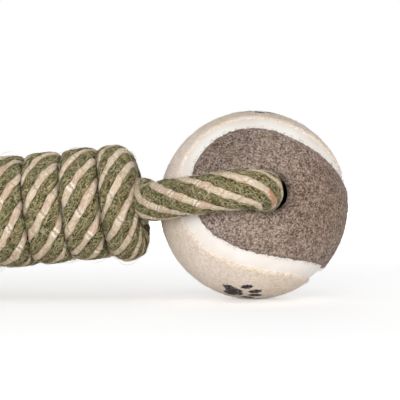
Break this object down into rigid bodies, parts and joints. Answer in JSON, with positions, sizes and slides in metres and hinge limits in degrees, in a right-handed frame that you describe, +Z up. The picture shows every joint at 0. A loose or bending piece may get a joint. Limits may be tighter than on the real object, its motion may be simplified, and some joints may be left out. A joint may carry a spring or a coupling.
{
  "type": "rope dog toy",
  "caption": "Felt covered ball threaded on a loop of thick twisted rope, with a wound rope grip and a hand loop. The ball spins on the rope and both loops bend.",
  "frame": {"origin": "middle of the toy's box, on the floor that it lies on", "axes": "+X from the hand loop to the ball, +Z up, +Y to the back of the ball as pictured"},
  "size_m": [0.2734, 0.0878, 0.064],
  "materials": {
    "felt_dark": "matte",
    "felt_light": "matte",
    "seam": "matte",
    "rubber": "matte",
    "rope": "matte"
  },
  "bodies": {
    "grip_body": {"grip_winding": "rope", "core_leg_front": "rope", "core_leg_back": "rope", "front_neck": "rope", "back_neck": "rope", "hand_neck_front": "rope", "hand_neck_back": "rope"},
    "ball_rope": {"ball_loop": "rope"},
    "ball": {"felt_panel_dark": "felt_dark", "felt_panel_light": "felt_light", "seam_strip": "seam", "rubber_half_front": "rubber", "rubber_half_back": "rubber"},
    "hand_rope": {"hand_loop": "rope"}
  },
  "joints": [
    {"name": "neck_bend", "type": "hinge", "parent": "grip_body", "child": "ball_rope", "pos_m": [0.0672, 0.0015, 0.0338], "axis": [0, -1, 0], "range_deg": [-20, 30], "deforming": ["front_neck", "back_neck"]},
    {"name": "ball_spin", "type": "hinge", "parent": "ball_rope", "child": "ball", "pos_m": [0.1047, 0.00148, 0.032], "axis": [0.2673, -0.9511, 0.1547], "continuous": true},
    {"name": "hand_loop_bend", "type": "hinge", "parent": "grip_body", "child": "hand_rope", "pos_m": [-0.0385, 0.0015, 0.0225], "axis": [0, 1, 0], "range_deg": [-30, 60], "deforming": ["hand_neck_front", "hand_neck_back"]}
  ]
}
